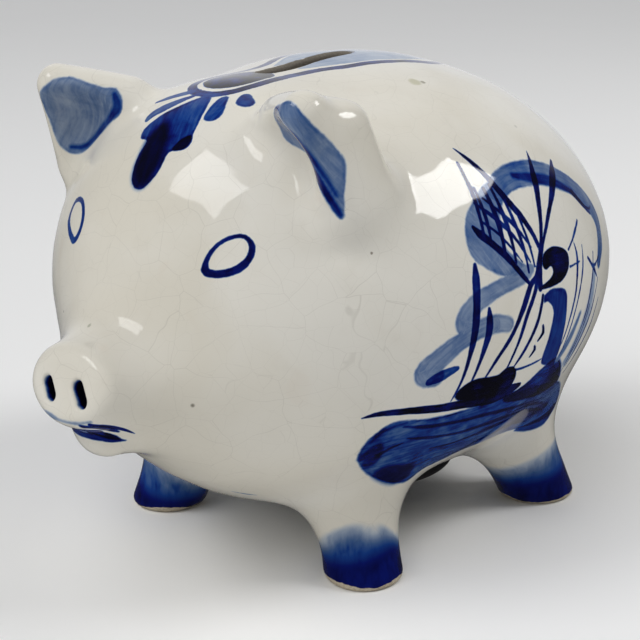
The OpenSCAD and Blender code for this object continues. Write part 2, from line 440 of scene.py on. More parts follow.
def flank_scene():
    """A windmill among reeds, with clouds above and water below."""
    wash.patch("flank", 0.50, (-2, 88.5), (-3, 91), (-8.5, 89.5), (-14, 86.5), (-17, 83.5), (-18.3, 80),
               (-18, 77), (-15.5, 74.5), (-12, 72.4), (-7.5, 71.8), (-3, 72.2), (-5.5, 74.6),
               (-8.5, 77.5), (-8, 80.5), (-7, 84), (-4, 86.5), flow=(0.5, -0.85), soft=0.5, sides=BOTH)
    wash.stroke("flank", 0.58, (-5, 88.5, 2.6), (-1, 90, 3.0), (4, 90.6, 3.3), (11, 90.2, 3.3),
                (18, 88.2, 3.0), (25, 84.6, 2.9), (30.5, 80.2, 2.7), (33.2, 75.5, 2.3),
                (32, 71, 2.1), (29.5, 67.3, 1.6), soft=0.5, sides=BOTH)
    wash.stroke("flank", 0.43, (-3, 72.4, 1.3), (-6, 71.2, 1.7), (-12.5, 70, 1.9), (-18, 68.3, 2.2),
                (-21.3, 66, 2.5), (-22, 63.6, 2.5), (-19, 62.2, 2.3), (-14.5, 62.6, 2.3),
                (-10.8, 61.9, 1.8), soft=0.5, sides=BOTH)
    wash.stroke("flank", 0.48, (-15, 62.4, 1.8), (-19, 61.7, 2.1), (-24, 59.7, 2.3), (-28, 57, 2.8),
                (-30.3, 54.6, 3.2), (-28, 53.2, 2.4), soft=0.5, sides=BOTH)
    wash.patch("flank", 0.72, (-37, 34), (-38.3, 37.5), (-37.8, 40.7), (-36, 43), (-33, 43.9), (-25.5, 42.9),
               (-18, 42.9), (-9.6, 43.4), (0.4, 43.6), (12, 42.0), (21.4, 39.4), (29, 34.5), (33, 29.5),
               (31, 26.3), (22, 26.0), (9.3, 27.2), (-2.6, 27.4), (-7.6, 25.4), (-13.4, 24.5),
               (-17.5, 22.9), (-23, 23.8), (-27.7, 26), (-32.2, 29), flow=(0.98, 0.1), soft=0.6, sides=BOTH)
    brushed.stroke("flank", 0.72, (-29.3, 52.4, 0.9), (-27, 53.1, 1.4), (-25, 53.8, 1.2), (-23, 54.3, 0.7),
                   sides=BOTH)
    brushed.stroke("flank", 0.66, (2.5, 90.6, 0.9), (9, 89.2, 1.5), (15, 87.6, 1.6), (23, 84.2, 0.8),
                   soft=0.8, sides=BOTH)
    brushed.patch("flank", 0.90, (-6, 43.4), (-1.5, 44.7), (1.3, 46), (4, 47.8), (7, 48.9), (10.5, 49.2),
                  (13.8, 47.4), (17.5, 43.5), (20, 39.6), (14, 38.6), (9, 39.0), (2, 40.2), (-4, 41.4),
                  soft=0.6, sides=BOTH)
    wash.stroke("flank", 0.34, (25.5, 66, 1.2), (23.5, 59, 2.2), (20.5, 52, 2.6), (17.5, 46.5, 2.0), soft=1.2,
                sides=BOTH)
    brushed.stroke("flank", 0.62, (3, 31.4, 1.2), (10, 31.6, 2.1), (17, 31.2, 2.3), (24, 31.4, 1.6), soft=1.0,
                   sides=BOTH)
    brushed.stroke("flank", 0.55, (11.5, 48.4, 1.2), (14.2, 52.5, 1.4), (17.6, 58.0, 0.8), soft=0.9, sides=BOTH)
    brushed.stroke("flank", 0.66, (-36, 34.5, 1.6), (-34.5, 36.8, 2.0), (-33.5, 33, 2.3), soft=0.9, sides=BOTH)
    brushed.stroke("flank", 0.62, (-37, 39, 0.6), (-35.5, 41.8, 0.8), (-31, 42.8, 0.5), soft=0.9, sides=BOTH)
    brushed.stroke("flank", 0.72, (-7.5, 50.4, 0.5), (-2.7, 50.3, 0.4), (2.5, 50.8, 0.3), sides=BOTH)
    for line in (((22.8, 84, 0.9), (25.3, 81.6, 0.8), (29.2, 78.2, 0.3)),
                 ((31.2, 79.6, 0.25), (29.6, 79.3, 0.4), (27.4, 80.2, 0.3)),
                 ((21.9, 70, 0.5), (25.1, 66.9, 0.55), (27.4, 64.5, 0.25)),
                 ((29.3, 68.6, 0.25), (26.6, 67.4, 0.45), (24.8, 67.8, 0.25)),
                 ((15.5, 74.6, 0.25), (16, 71.2, 0.55), (14.3, 64.4, 0.45), (11.7, 56.8, 0.35), (9.8, 50.1, 0.2)),
                 ((19.5, 73.3, 0.2), (18.3, 68, 0.38), (15.5, 61.8, 0.33), (12.8, 54.1, 0.3), (11.5, 49.3, 0.2)),
                 ((23.4, 58.8, 0.2), (20.6, 52, 0.3), (18.3, 47.5, 0.3), (17.6, 42.4, 0.2)),
                 ((20, 78.6, 0.45), (16, 75.8, 0.4), (12.3, 73.7, 0.3)),
                 ((12, 70, 0.3), (17, 70.2, 0.2)),
                 ((25.6, 70.5, 0.2), (23.8, 64, 0.4), (20.6, 55, 0.35), (17.2, 47.5, 0.25)),
                 ((28.3, 64, 0.2), (25.8, 57.5, 0.4), (21.8, 50, 0.4), (18.6, 44.5, 0.25)),
                 ((30.4, 58.5, 0.2), (27.2, 52, 0.45), (23, 46, 0.4), (20.5, 42, 0.25))):
        brushed.stroke("flank", 0.78, *line, sides=BOTH)
    spars = (((12.7, 94.2, 0.2), (10.6, 91.4, 0.75), (8.9, 88.9, 1.05), (5.6, 83.2, 0.75), (2.7, 77.5, 0.6),
              (0.2, 73.4, 0.7), (-1.6, 70.4, 0.6), (-3.7, 69, 0.8), (-6, 65.3, 0.8), (-9.4, 59.3, 0.6),
              (-12.8, 54.3, 0.5), (-15.2, 49.6, 0.2)),
             ((20.7, 91.2, 0.35), (17.6, 89, 1.05), (15, 87, 1.1), (9.2, 82.7, 0.7), (3.6, 77.4, 0.5),
              (0.9, 73.6, 0.7), (-0.4, 70.6, 1.05), (-0.5, 67.8, 0.8)),
             ((-8.8, 97.1, 0.2), (-7.2, 94.8, 0.65), (-5.6, 91.9, 0.75), (-3.5, 87, 1.0), (-0.6, 81.7, 0.8),
              (1.7, 76, 0.45)),
             ((-15.3, 82.6, 0.5), (-14.3, 81.2, 1.0), (-12.3, 79.2, 0.95), (-8.9, 75.7, 0.85),
              (-5.8, 71.6, 0.7), (-3.4, 68.9, 0.4)),
             ((-1.4, 70, 0.5), (-2.2, 67.8, 0.65), (-5.1, 62.9, 0.6), (-7.4, 56.6, 0.5), (-9.3, 50.8, 0.25)),
             ((0.2, 66.1, 0.5), (-1.8, 60, 0.6), (-4.7, 54.8, 0.5), (-7.1, 51, 0.3)))
    for line in spars:
        dark.stroke("flank", 0.88, *line, sides=BOTH)
    bars = ((-10.5, 94.5, -13.6, 79.9, 0.6), (-10.4, 89.6, -12.2, 78.6, 0.55), (-8.0, 89.3, -9.3, 76.4, 0.75),
            (-6.0, 89.8, -6.8, 74.2, 0.65), (-4.1, 87.2, -3.6, 71.8, 0.55), (-2.2, 85.4, -1.5, 72.6, 0.45),
            (-0.4, 81.4, 1.2, 75.0, 0.35))
    for y0, z0, y1, z1, r in bars:
        bow = 0.35 * r
        dark.stroke("flank", 0.84, (y0, z0, r * 0.7), ((y0 + y1) / 2 + bow, (z0 + z1) / 2, r),
                    (y1, z1, r * 0.6), sides=BOTH)
    for line in (((-12.3, 87, 0.4), (-8, 82.8, 0.55), (-5.3, 79.2, 0.5), (-2.6, 73.8, 0.3)),
                 ((-9.6, 87.6, 0.35), (-4.5, 82, 0.5), (-1.3, 76.6, 0.3)),
                 ((-12.8, 83.6, 0.3), (-9, 80, 0.4), (-5, 74.2, 0.25))):
        dark.stroke("flank", 0.82, *line, sides=BOTH)
    dark.patch("flank", 0.97, (1.2, 72.8), (2.2, 74.6), (5, 75.5), (8.2, 75.2), (11.1, 73.9), (12, 72.2),
               (11.2, 69.8), (9, 68.2), (6, 67.4), (0, 67.3), (-1, 67.9), (2, 68.8), (4.2, 69.8),
               (4.6, 71), (3.9, 71.7), (2.6, 71.2), (1.5, 71.6), soft=0.25, sides=BOTH)
    dark.patch("flank", 0.80, (0.4, 65.7), (1.5, 66.4), (4, 66.9), (8, 66.2), (9.8, 64.5), (10.1, 61.5),
               (10.1, 54.8), (9.9, 48.6), (3.2, 49.6), (3.5, 56.5), (4, 62), (1.8, 64.4), (0.6, 64.2),
               flow=(0.1, 1.0), sides=BOTH)
    dark.stroke("flank", 0.95, (0.5, 59.3, 0.3), (0.9, 57.5, 0.6), (-0.6, 56.1, 0.35), sides=BOTH)
    dark.stroke("flank", 0.95, (-1.5, 55, 0.3), (-1.2, 54, 0.5), (-2.4, 52.6, 0.25), sides=BOTH)
    for line in (((-17.9, 75.5, 0.5), (-18.3, 73, 1.0), (-18.9, 68.5, 1.05), (-19.6, 61.2, 0.95),
                  (-20.4, 55.8, 0.65), (-21.1, 50.3, 0.4), (-21.9, 46.4, 0.2)),
                 ((-15.9, 66.2, 0.4), (-15.8, 64, 0.95), (-15.9, 61, 0.95), (-16.8, 57, 0.7),
                  (-17.6, 53.4, 0.45), (-18.3, 50, 0.25))):
        dark.stroke("flank", 0.86, *line, sides=BOTH)
    dark.stroke("flank", 0.93, (-41.6, 46.1, 0.2), (-38.3, 46.6, 0.75), (-31.6, 46, 1.0), (-24.1, 45, 1.25),
                (-16.2, 44.5, 1.5), (-10, 44.3, 1.9), (-5.5, 45, 1.8), (-2.5, 45.6, 0.9), sides=BOTH)
    dark.patch("flank", 0.99, (-21.4, 48.0), (-20, 49.7), (-17, 50.7), (-13, 50.4), (-11, 50.5), (-9.5, 51.5),
               (-7.3, 51.6), (-5.5, 50), (-5, 47.5), (-6.3, 45), (-10, 44.5), (-16, 45), (-20.5, 46.2),
               sides=BOTH)
    dark.patch("flank", 0.80, (-30.5, 29.6), (-28.5, 30.9), (-24, 30), (-19.5, 28.6), (-18.2, 26), (-20, 23.8),
               (-24, 23.7), (-27.7, 25.5), (-30.2, 27.5), soft=1.6, sides=BOTH)
    for line in (((-31, 41.8, 0.35), (-24.2, 40.3, 0.75), (-16.1, 39.6, 0.65), (-7.6, 39.5, 0.75),
                  (3.7, 38.3, 0.55), (14, 36.6, 0.4), (18.5, 35.5, 0.25)),
                 ((-28.1, 38, 0.35), (-21.8, 36.6, 0.65), (-14.7, 35.8, 0.6), (-9.4, 36, 0.75),
                  (-1.7, 36.3, 0.95), (6.7, 35.5, 0.65), (14.5, 33.8, 0.3)),
                 ((-18.5, 32.5, 0.3), (-13.1, 32.4, 0.5), (-8.4, 33.2, 0.55), (-2.8, 34, 0.95),
                  (2, 34.4, 0.95), (9, 34, 0.8), (16, 32.8, 0.75), (22.5, 30.6, 0.35)),
                 ((-10, 26.4, 0.3), (-8.5, 26.7, 0.55), (-5.4, 27.9, 0.85), (-2.8, 29.6, 1.05),
                  (1.6, 30.6, 0.9), (8, 30.6, 0.8), (14, 29.6, 0.7), (18.5, 28.4, 0.3)),
                 ((0.5, 37.2, 0.3), (7, 36.9, 0.7), (14, 35.4, 0.8), (20.5, 33.2, 0.35)),
                 ((-32.8, 34.4, 0.9), (-30.9, 35.9, 0.6), (-28.5, 36.8, 0.35))):
        dark.stroke("flank", 0.74, *line, soft=0.45, sides=BOTH)
    dark.stroke("flank", 0.80, (17.5, 26.2, 0.9), (22.5, 25.6, 1.9), (28.2, 26.2, 2.3), (31, 28.4, 1.4),
                soft=0.7, sides=BOTH)


def crown_ornament():
    """A teardrop field around the coin slot, with leaves hanging onto the forehead."""
    rim = ((-1.0, -39.8), (1.2, -39.9), (4, -39.0), (6.5, -36.6), (7.7, -32), (7.6, -26), (7.0, -19),
           (7.8, -12), (10.3, -6), (12, 0), (13.2, 5), (14.2, 11), (14.7, 16), (14.6, 21), (12, 28),
           (7, 34), (0, 36.5))
    right = [(x, y, 1.2) for x, y in rim]
    far = [(-x, y, 1.2) for x, y in rim[1:]]
    brushed.stroke("crown", 0.84, *right)
    brushed.stroke("crown", 0.80, *far)
    wash.patch("crown", 0.96, (0, -37.8), (3.2, -36.9), (5.6, -33.6), (6.0, -27), (4.6, -22.6), (0, -20.8),
               (-4.6, -22.6), (-6.0, -27), (-5.6, -33.6), (-3.2, -36.9), flow=(0.1, 1.0), soft=0.3)
    wash.patch("crown", 0.33, (3.4, -14), (6.2, -9.5), (9, -3.8), (11, 3), (12.2, 10), (12.6, 17), (10, 25.5),
               (4.5, 32), (0, 33.5), (-4.5, 32), (-10, 25.5), (-12.6, 17), (-12.2, 10), (-11, 3),
               (-9, -3.8), (-6.2, -9.5), (-3.4, -14), (-2.6, -5), (-2.4, 6), (0, 9), (2.4, 6), (2.6, -5),
               flow=(0.3, 1.0), soft=0.4)
    dark.stroke("crown", 0.95, (-1.5, -22.6, 0.6), (0, -23, 0.9), (1.5, -22.6, 0.6))
    dark.stroke("crown", 0.95, (-1.8, 7.2, 0.8), (0, 8.4, 1.3), (1.8, 7.2, 0.8))
    brushed.patch("face", 0.80, (-1.7, 89.9), (-4.1, 90), (-5.8, 91.3), (-6.8, 93.5), (-7.2, 96), (-6.7, 98.7),
                  (-9.3, 98.8), (-10, 100.5), (-8.6, 102.2), (-6.7, 103.9), (-4.3, 105.3), (-1.5, 106.8),
                  (0.7, 107.7), (3, 107.8), (4.2, 105.9), (4.8, 103.4), (5.3, 101), (5.9, 99.6), (5, 98.2),
                  (1.5, 97.3), (1.3, 94.4), (0.2, 91.6), flow=(-0.3, 1.0), soft=0.25)
    dark.patch("face", 0.93, (-1.7, 89.9), (-4.1, 90), (-5.9, 91.3), (-7.0, 93.5), (-7.3, 97), (-7.2, 99.8),
               (-6.0, 102), (-3.6, 103.0), (-1.4, 101.6), (0.2, 99), (0.8, 95.5), (0, 91.8),
               flow=(-0.2, 1.0), soft=2.0)
    dark.patch("face", 0.92, (4.8, 101.1), (2.8, 100.1), (1.6, 97.9), (3.4, 97.7), (5, 98.4), (5.7, 99.7),
               soft=0.4)
    brushed.stroke("face", 0.72, (-10.8, 102.4, 0.8), (-10.2, 103.4, 1.2), (-7.6, 105.0, 1.25),
                   (-4.6, 106.5, 0.95), (-1.3, 107.9, 0.4))
    brushed.stroke("crown", 0.70, (-12.6, -42.1, 0.4), (-8.8, -41.1, 0.8), (-5.1, -39.9, 0.9),
                   (-2.2, -38.9, 0.6))
    brushed.patch("face", 0.78, (5.4, 103.8), (4.8, 105.2), (4.9, 106.7), (5.3, 107.9), (7, 108), (8.1, 106.6),
                  (9, 105), (8.5, 104), (7.2, 103.6), flow=(0.1, 1.0))
    brushed.patch("crown", 0.74, (9.0, -38.6), (8.9, -37), (10, -36.2), (11.8, -37), (13.4, -38),
                  (13.2, -39.5), (11.5, -40.4), (9.6, -40.2))


def face_marks():
    """Eyes, nostrils and lips."""
    left = ((19.8, 76.9, 1.05), (19.6, 78.4, 0.62), (20.1, 80.2, 0.55), (21.2, 81.9, 0.48), (22.9, 83.1, 0.48),
            (24.9, 83.7, 0.5), (26.6, 83.2, 0.58), (27.7, 81.9, 0.72), (27.9, 80.2, 0.78), (27.3, 78.7, 0.85),
            (26.1, 77.5, 0.9), (24.2, 76.6, 0.88), (22.1, 76.2, 0.85), (20.2, 76.4, 0.95))
    right = ((-21.3, 76.5, 0.85), (-24.7, 77.6, 0.85), (-27.2, 79.5, 0.8), (-27.4, 81.8, 0.75),
             (-26.5, 83.6, 0.7), (-24.4, 84.5, 0.65), (-21.9, 84.3, 0.65), (-20.0, 83.0, 0.75),
             (-18.9, 81.0, 0.8), (-18.9, 78.9, 0.85), (-20.0, 77.0, 0.85), (-21.3, 76.5, 0.8))
    dark.stroke("face", 0.84, *left)
    dark.stroke("face", 0.72, *right)
    lip = SNOUT_TIP[2]
    brushed.stroke("face", 0.80, (2.7, 54.6, 0.35), (3.3, 53.8, 0.6), (4.0, 53.0, 0.4))
    wash.stroke("face", 0.33, (-7.5, lip - 6.6, 0.7), (-3.2, lip - 6.7, 0.9), (0.1, lip - 6.9, 0.5),
                (4.6, lip - 6.6, 0.5), (8.2, lip - 5.6, 0.4), soft=0.5)
    for at, tone, height in ((-80.0, 0.80, 45.3), (-79.0, 0.86, 43.2)):
        brushed.stroke("flank", tone, (at - 2.0, height + 0.9, 0.8), (at + 0.8, height + 0.4, 1.3),
                       (at + 3.0, height - 0.5, 1.1), (at + 4.6, height - 1.3, 0.5), soft=0.4, sides=BOTH)
    dark.stroke("flank", 0.86, (-81.5, 46.9, 0.6), (-79.5, 46.4, 0.7), (-77.0, 45.5, 0.75), (-74.6, 44.4, 0.6),
                (-72.6, 43.2, 0.2), sides=BOTH)
    dark.stroke("flank", 0.84, (-77.9, 43.0, 0.9), (-76.6, 42.0, 1.0), (-75.4, 41.6, 0.8), (-73.6, 41.2, 0.25),
                sides=BOTH)
    dark.stroke("face", 0.84, (-6.8, 41.9, 0.7), (-3.3, 42.0, 1.0), (0, 42.1, 1.2), (3.3, 42.0, 1.1),
                (6.8, 41.8, 0.8), (8.4, 41.3, 0.3), soft=0.35)
    brushed.stroke("face", 0.80, (-5.5, 44.0, 1.3), (0, 44.4, 1.6), (5.5, 44.0, 1.3), soft=0.4)
    # a stray touch of the brush under the chest
    brushed.stroke("face", 0.42, (13.2, 22.6, 0.3), (15.4, 22.0, 0.55), (17.2, 21.8, 0.3), soft=0.5)


def ear_marks():
    """Blue fronts of the two ears, each brushed its own way."""
    wash.patch("ear", 0.50, (27.0, 102.4), (27.6, 106.2), (30.2, 109.0), (32.9, 110.2), (36.0, 111.6),
               (38.6, 111.0), (41.0, 108.4), (43.0, 104.8), (44.4, 100.6), (44.8, 96.6), (44.4, 92.6), (43.9, 88.9),
               (42.9, 88.0), (41.6, 90.6), (39.8, 94.2), (37.4, 97.6), (34.0, 99.6), (29.6, 100.6),
               flow=(0.45, -0.9), soft=0.45)
    brushed.stroke("ear", 0.72, (31.2, 103.6, 0.6), (34.6, 102.8, 1.1), (37.6, 100.4, 1.2), (39.6, 97.2, 1.2),
                   (41.2, 93.6, 1.1), (42.6, 90.0, 0.9), (43.2, 88.9, 0.7), soft=0.8)
    brushed.stroke("ear", 0.62, (35.0, 106.4, 0.6), (37.2, 104.8, 0.9), (39.2, 101.6, 0.9), (41.6, 97.0, 0.8),
                   (43.0, 93.0, 0.5), soft=0.9)
    brushed.stroke("ear", 0.64, (29.9, 106.2, 0.7), (31.0, 108.6, 0.9), (32.6, 109.6, 0.6), soft=0.8)
    wash.patch("ear", 0.45, (-35.4, 108.6), (-32.4, 110.6), (-28.5, 109.6), (-24.8, 108.3), (-22.2, 108.1),
               (-20.4, 105.5), (-21, 102.2), (-26, 99.4), (-29.5, 96.2), (-33.5, 92.6), (-37.7, 92.0),
               (-40, 95.1), (-39.6, 102.4), (-38.2, 106.4), flow=(0.45, 0.9), soft=0.45)
    brushed.stroke("ear", 0.66, (-22.2, 106.6, 0.8), (-21.7, 104, 1.3), (-24.5, 101.4, 1.1), (-29, 97.9, 1.0),
                   (-33.6, 94, 0.9), (-37.3, 93.5, 0.6), soft=0.9)


flank_scene()
crown_ornament()
face_marks()
ear_marks()
LAYERS = (wash, brushed, dark)

HOOF_FAR = 9.0
HOOF_MID = 9.6
HOOF_RISE = 4.9


def hooves(p, seed=0.0):
    """Signed distances to the hooves' wash, to their dark lower part, and to the bare clay of the foot rim and of
    the coin slot, whose walls are coloured near black as painted shade.
    """
    top = np.full(len(p), HOOF_FAR)
    low = np.full(len(p), HOOF_FAR)
    for k, (side, fx, fy, fr, *_) in enumerate(LEGS.values()):
        rear = k >= 2
        q = p - np.array([side * fx, fy, 0])
        around = np.hypot(q[:, 0], q[:, 1])
        turn = np.arctan2(q[:, 1], side * q[:, 0])
        crest = 0.2 if rear else -0.85
        reach = 1.0 if side > 0 else 0.8
        middle = HOOF_MID + (0.4, 4.6, 3.8, 3.4)[k]
        edge = middle + HOOF_RISE * reach * np.tanh(1.6 * np.cos(turn - crest)) * 1.06 + 0.5 * np.sin(3 * turn + k)
        mask = (around < 19) & (p[:, 2] < 26)
        d = np.where(mask, (p[:, 2] - edge) * 0.9, HOOF_FAR)
        shade = (8.6 if rear else 6.3) + 2.6 * np.cos(turn - (crest + 0.7)) + 0.5 * np.sin(2 * turn + 2 * k)
        e = np.where(mask, (p[:, 2] - shade) * 0.9, HOOF_FAR)
        top, low = np.minimum(top, d), np.minimum(low, e)
    rim = 1.25 + 0.45 * np.sin(0.33 * p[:, 0] + 0.5) * np.cos(0.29 * p[:, 1])
    # bare clay: the rim under the feet, and the coin slot's walls and lips, which the glaze material colours near
    # black as painted shade of the slot's hollow
    bare_rim_and_slot_shade = np.minimum(p[:, 2] - rim, np.maximum(stadium(p) - 0.95, TOP - 24 - p[:, 2]))
    return [np.clip(d, -HOOF_FAR, HOOF_FAR) for d in (top, low, bare_rim_and_slot_shade)]


# ---------------------------------------------------------------- meshing the glaze
VOXEL = 1.25
GRID_LOW = np.array([-66.0, CHEST - 21, -4.0])
GRID_HIGH = np.array([66.0, CHEST + 154, TOP + 5])


def first_mesh():
    size = np.ceil((GRID_HIGH - GRID_LOW) / VOXEL).astype(int)
    field = np.empty(size, np.float32)
    y = GRID_LOW[1] + VOXEL * np.arange(size[1])
    z = GRID_LOW[2] + VOXEL * np.arange(size[2])
    yy, zz = np.meshgrid(y, z, indexing="ij")
    for i in range(size[0]):
        p = np.stack([np.full(yy.shape, GRID_LOW[0] + VOXEL * i), yy, zz], -1)
        field[i] = clay(p.reshape(-1, 3)).reshape(yy.shape)
    grid = openvdb.FloatGrid()
    grid.background = 5.0
    grid.copyFromArray(field, tolerance=0.0)
    points, quads = grid.convertToQuads(0.0)
    p = GRID_LOW + VOXEL * points.astype(float)
    quads = quads.astype(np.int64)
    short = length(p[quads[:, 0]] - p[quads[:, 2]]) <= length(p[quads[:, 1]] - p[quads[:, 3]])
    first = np.where(short[:, None], quads[:, [0, 1, 2]], quads[:, [0, 1, 3]])
    second = np.where(short[:, None], quads[:, [0, 2, 3]], quads[:, [1, 2, 3]])
    return settle(p), np.vstack([first, second])


def edges_of(tris):
    e = np.vstack([tris[:, [0, 1]], tris[:, [1, 2]], tris[:, [2, 0]]])
    e.sort(axis=1)
    keys, back = np.unique(e[:, 0] * 10 ** 9 + e[:, 1], return_inverse=True)
    pairs = np.stack([keys // 10 ** 9, keys % 10 ** 9], 1)
    return pairs, back.reshape(3, -1).T


def refine(p, tris, flagged, pairs, per_tri):
    """Splits the flagged edges and every triangle beside them."""
    new_id = np.full(len(pairs), -1, np.int64)
    chosen = np.nonzero(flagged)[0]
    new_id[chosen] = len(p) + np.arange(len(chosen))
    mids = settle(p[pairs[chosen]].mean(1), 3)
    m = new_id[per_tri]
    count = (m >= 0).sum(1)
    out = [tris[count == 0]]
    for number in (1, 2, 3):
        rows = np.nonzero(count == number)[0]
        t, mm = tris[rows], m[rows]
        if number == 3:
            a, b, c = t.T
            x, y, z = mm.T
            out += [np.stack(s, 1) for s in ((a, x, z), (x, b, y), (z, y, c), (x, y, z))]
            continue
        lead = np.argmax(mm >= 0, 1) if number == 1 else (np.argmin(mm >= 0, 1) + 1) % 3
        k = (np.arange(3)[None, :] + lead[:, None]) % 3
        t, mm = np.take_along_axis(t, k, 1), np.take_along_axis(mm, k, 1)
        a, b, c = t.T
        x, y, _ = mm.T
        if number == 1:
            out += [np.stack(s, 1) for s in ((a, x, c), (x, b, c))]
        else:
            out += [np.stack(s, 1) for s in ((x, b, y), (a, x, y), (a, y, c))]
    return np.vstack([p, mids]), np.vstack(out)


def all_marks(p, normal):
    found = [paint(layer, p, normal) for layer in LAYERS]
    hoof = hooves(p)
    return found, hoof


SMALLEST = 0.42


def glaze_mesh():
    p, tris = first_mesh()
    for level in range(3):
        normal = gradient(p, clay)
        normal /= length(normal)[:, None]
        found, hoof = all_marks(p, normal)
        edge = np.full(len(p), FAR)
        for d in [f[0] for f in found] + list(hoof):
            edge = np.minimum(edge, np.abs(d))
        pairs, per_tri = edges_of(tris)
        a, b = pairs.T
        run = length(p[a] - p[b])
        bend = (normal[a] * normal[b]).sum(1)
        flagged = (run > SMALLEST) & ((np.minimum(edge[a], edge[b]) < 0.8 * run) | (bend < 0.972))
        p, tris = refine(p, tris, flagged, pairs, per_tri)
    normal = gradient(p, clay)
    normal /= length(normal)[:, None]
    return p, tris, normal


# ---------------------------------------------------------------- pieces of the glazed skin
PIECES = (("body_glaze", "body_shell", "glazed_clay"), ("snout_glaze", "snout", "glazed_clay"),
          ("jaw_glaze", "lower_jaw", "glazed_clay"), ("left_ear_glaze", "left_ear", "glazed_clay"),
          ("right_ear_glaze", "right_ear", "glazed_clay"), ("tail_glaze", "tail", "glazed_clay"),
          ("front_left_leg_glaze", "front_left_leg", "painted_clay"),
          ("front_right_leg_glaze", "front_right_leg", "painted_clay"),
          ("rear_left_leg_glaze", "rear_left_leg", "painted_clay"),
          ("rear_right_leg_glaze", "rear_right_leg", "painted_clay"))


def part_labels(c):
    """The clay part that each surface point belongs to."""
    own_ear = ear(mirrored(c)) - 1.0
    away = np.full(len(c), 50.0)
    fields = [core(c), snout(c) + 1.5, jaw(c) + 0.5,
              np.where(c[:, 0] > 0, own_ear, away), np.where(c[:, 0] < 0, own_ear, away),
              np.minimum(tail(c) - 0.4, length(c - CURL_MIDDLE) - 7)]
    fields += [leg(c, spec) for spec in LEGS.values()]
    best = np.argmin(np.stack(fields), 0)
    inner = core(c) < -WALL + 1.2
    best[inner & (c[:, 1] > CHEST + 6)] = 0
    return best


def smooth_labels(tris, labels, rounds=6):
    pairs, per_tri = edges_of(tris)
    order = np.argsort(per_tri.ravel(), kind="stable")
    owner = order // 3
    keys = per_tri.ravel()[order]
    first = np.nonzero(np.diff(np.concatenate([[-1], keys])))[0]
    mates = np.stack([owner[first], owner[np.minimum(first + 1, len(owner) - 1)]], 1)
    count = np.diff(np.concatenate([first, [len(keys)]]))
    mates = mates[count == 2]
    for _ in range(rounds):
        votes = np.zeros((len(tris), len(PIECES)), np.int8)
        np.add.at(votes, (mates[:, 0], labels[mates[:, 1]]), 1)
        np.add.at(votes, (mates[:, 1], labels[mates[:, 0]]), 1)
        strong = votes.max(1) >= 2
        labels = np.where(strong, votes.argmax(1), labels)
    return labels


def boundary_loops(tris):
    """Closed loops of the open edges of a triangle set, in the direction that closes them."""
    half = np.vstack([tris[:, [0, 1]], tris[:, [1, 2]], tris[:, [2, 0]]])
    have = set(map(tuple, half.tolist()))
    nxt = {}
    for a, b in have:
        if (b, a) not in have:
            nxt.setdefault(b, []).append(a)
    loops = []
    while nxt:
        start = next(iter(nxt))
        loop = [start]
        at = start
        while True:
            step = nxt[at].pop()
            if not nxt[at]:
                del nxt[at]
            if step == start:
                break
            loop.append(step)
            at = step
            if at not in nxt:
                break
        if len(loop) > 2:
            loops.append(loop)
    return loops


def make_piece(name, node, p, tris, normal, marks, hoof, material):
    used = np.unique(tris)
    index = np.full(len(p), -1, np.int64)
    index[used] = np.arange(len(used))
    local = index[tris]
    verts = p[used]
    norms = normal[used]
    caps = []
    extra = []
    for loop in boundary_loops(local):
        centre = verts[loop].mean(0) - norms[loop].mean(0) * 0.5
        hub = len(verts) + len(extra)
        extra.append(centre)
        caps += [(loop[i], loop[(i + 1) % len(loop)], hub) for i in range(len(loop))]
    if extra:
        verts = np.vstack([verts, np.array(extra)])
        norms = np.vstack([norms, np.tile([0, 0, 1.0], (len(extra), 1))])
    faces = np.vstack([local, np.array(caps, np.int64)]) if caps else local
    mesh = bpy.data.meshes.new(name)
    mesh.from_pydata((verts * MM).tolist(), [], faces.tolist())
    mesh.update()
    mesh.shade_smooth()
    pad = len(extra)
    for layer, (dist, tone, soft, flow) in zip(LAYERS, marks):
        ink = np.stack([dist, tone, soft], 1)[used]
        run = flow[used]
        if pad:
            ink = np.vstack([ink, np.tile([FAR, 0.5, 0.3], (pad, 1))])
            run = np.vstack([run, np.zeros((pad, 3))])
        for label, data in ((layer.name + "_ink", ink), (layer.name + "_run", run)):
            attribute = mesh.attributes.new(label, "FLOAT_VECTOR", "POINT")
            attribute.data.foreach_set("vector", np.ascontiguousarray(data, np.float32).ravel())
    zones = np.stack(hoof, 1)[used]
    if pad:
        zones = np.vstack([zones, np.full((pad, 3), HOOF_FAR)])
    attribute = mesh.attributes.new("hoof", "FLOAT_VECTOR", "POINT")
    attribute.data.foreach_set("vector", np.ascontiguousarray(zones, np.float32).ravel())
    mesh.normals_split_custom_set_from_vertices(norms.astype(np.float32).tolist())
    obj = bpy.data.objects.new(name, mesh)
    bpy.context.scene.collection.objects.link(obj)
    mesh.materials.append(material)
    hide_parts(node)
    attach(obj, "pig")
    return obj


# ---------------------------------------------------------------- materials


